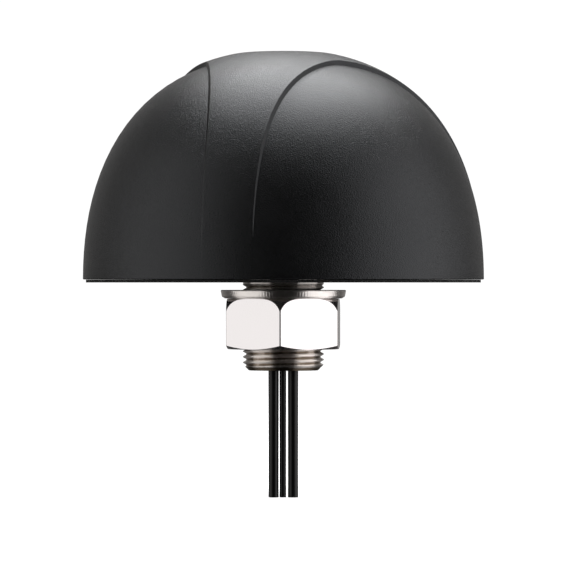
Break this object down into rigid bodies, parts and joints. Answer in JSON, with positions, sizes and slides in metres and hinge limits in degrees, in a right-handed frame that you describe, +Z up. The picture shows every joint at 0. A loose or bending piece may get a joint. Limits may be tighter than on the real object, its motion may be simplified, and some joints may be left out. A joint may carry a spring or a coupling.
{
  "type": "gnss receiver",
  "caption": "Domed black radome with swept recesses on a hollow threaded stud, with a lock washer, hex nut and thin coaxial cables leaving through the stud.",
  "frame": {"origin": "on the stud's axis, level with the lower ends of the cable tails, 58 mm below the mounting plane", "axes": "+Z up along the stud towards the crown of the dome; -Y towards the front; the cables lie in a row along X"},
  "size_m": [0.1082, 0.1082, 0.1202],
  "materials": {
    "shell_plastic": "fine spark-eroded texture, satin sheen",
    "base_plastic": "matte",
    "foam": "matte closed-cell foam",
    "seal_rubber": "matte",
    "nickel_plate": "bright nickel plate, machined",
    "zinc_steel": "satin zinc plate",
    "sheet_aluminium": "rolled sheet",
    "brass": "turned",
    "nylon": "natural nylon",
    "circuit_board": "satin solder mask",
    "ceramic": "fired, unglazed",
    "silver_plate": "fired silver",
    "copper": "bare copper",
    "cable_jacket": "smooth satin PVC",
    "braid": "tinned copper braid",
    "dielectric": "natural polyethylene"
  },
  "bodies": {
    "head": {"radome": "shell_plastic", "base_plate": "base_plastic", "foam_gasket": "foam", "radome_seal": "seal_rubber", "threaded_stud": "nickel_plate", "stud_seal": "seal_rubber", "cable_grommet": "seal_rubber", "ground_plate": "sheet_aluminium", "patch_pedestal": "nylon", "amplifier_board": "circuit_board", "amplifier_shield": "zinc_steel", "band_filter": "ceramic", "amplifier_chip": "base_plastic", "patch_antenna": "ceramic", "patch_electrode": "silver_plate", "patch_feed_pin": "brass", "cell_main_blade": "circuit_board", "cell_main_radiator": "copper", "cell_main_holder": "nylon", "cell_aux_blade": "circuit_board", "cell_aux_radiator": "copper", "cell_aux_holder": "nylon", "base_screw_1": "zinc_steel", "base_screw_2": "zinc_steel", "base_screw_3": "zinc_steel", "base_screw_4": "zinc_steel", "base_screw_5": "zinc_steel", "base_screw_6": "zinc_steel", "stud_screw_1": "zinc_steel", "stud_screw_2": "zinc_steel", "stud_screw_3": "zinc_steel", "standoff_1": "brass", "standoff_2": "brass", "standoff_3": "brass", "ground_screw_1": "zinc_steel", "ground_screw_2": "zinc_steel", "ground_screw_3": "zinc_steel", "cell_main_lead": "cable_jacket", "cell_main_lead_pin": "copper", "gnss_lead": "cable_jacket", "gnss_lead_pin": "copper", "cell_aux_lead": "cable_jacket", "cell_aux_lead_pin": "copper"},
    "washer": {"lock_washer": "nickel_plate"},
    "nut": {"hex_nut": "nickel_plate"},
    "cell_main_tail": {"cell_main_tail_jacket": "cable_jacket", "cell_main_tail_braid": "braid", "cell_main_tail_dielectric": "dielectric", "cell_main_tail_conductor": "copper"},
    "gnss_tail": {"gnss_tail_jacket": "cable_jacket", "gnss_tail_braid": "braid", "gnss_tail_dielectric": "dielectric", "gnss_tail_conductor": "copper"},
    "cell_aux_tail": {"cell_aux_tail_jacket": "cable_jacket", "cell_aux_tail_braid": "braid", "cell_aux_tail_dielectric": "dielectric", "cell_aux_tail_conductor": "copper"}
  },
  "joints": [
    {"name": "washer_slide", "type": "slide", "parent": "head", "child": "washer", "axis": [0, 0, -1], "range_m": [-0.00187, 0.0165]},
    {"name": "nut_turn", "type": "hinge", "parent": "washer", "child": "nut", "pos_m": [0, 0, 0.045], "axis": [0, 0, -1], "range_deg": [-450.5, 3960.5]},
    {"name": "cell_main_bend", "type": "hinge", "parent": "head", "child": "cell_main_tail", "pos_m": [-0.00265, 0, 0.021], "axis": [0, 1, 0], "range_deg": [0, 60], "stiffness_Nm_per_rad": 0.002},
    {"name": "gnss_bend", "type": "hinge", "parent": "head", "child": "gnss_tail", "pos_m": [-0.00015, 0, 0.021], "axis": [1, 0, 0], "range_deg": [-60, 60], "stiffness_Nm_per_rad": 0.001},
    {"name": "cell_aux_bend", "type": "hinge", "parent": "head", "child": "cell_aux_tail", "pos_m": [0.0026, 0, 0.021], "axis": [0, -1, 0], "range_deg": [0, 60], "stiffness_Nm_per_rad": 0.002}
  ],
  "couplings": [
    {"joint": "nut_turn", "follows": "washer_slide", "rad_per_m": 4188.8}
  ]
}
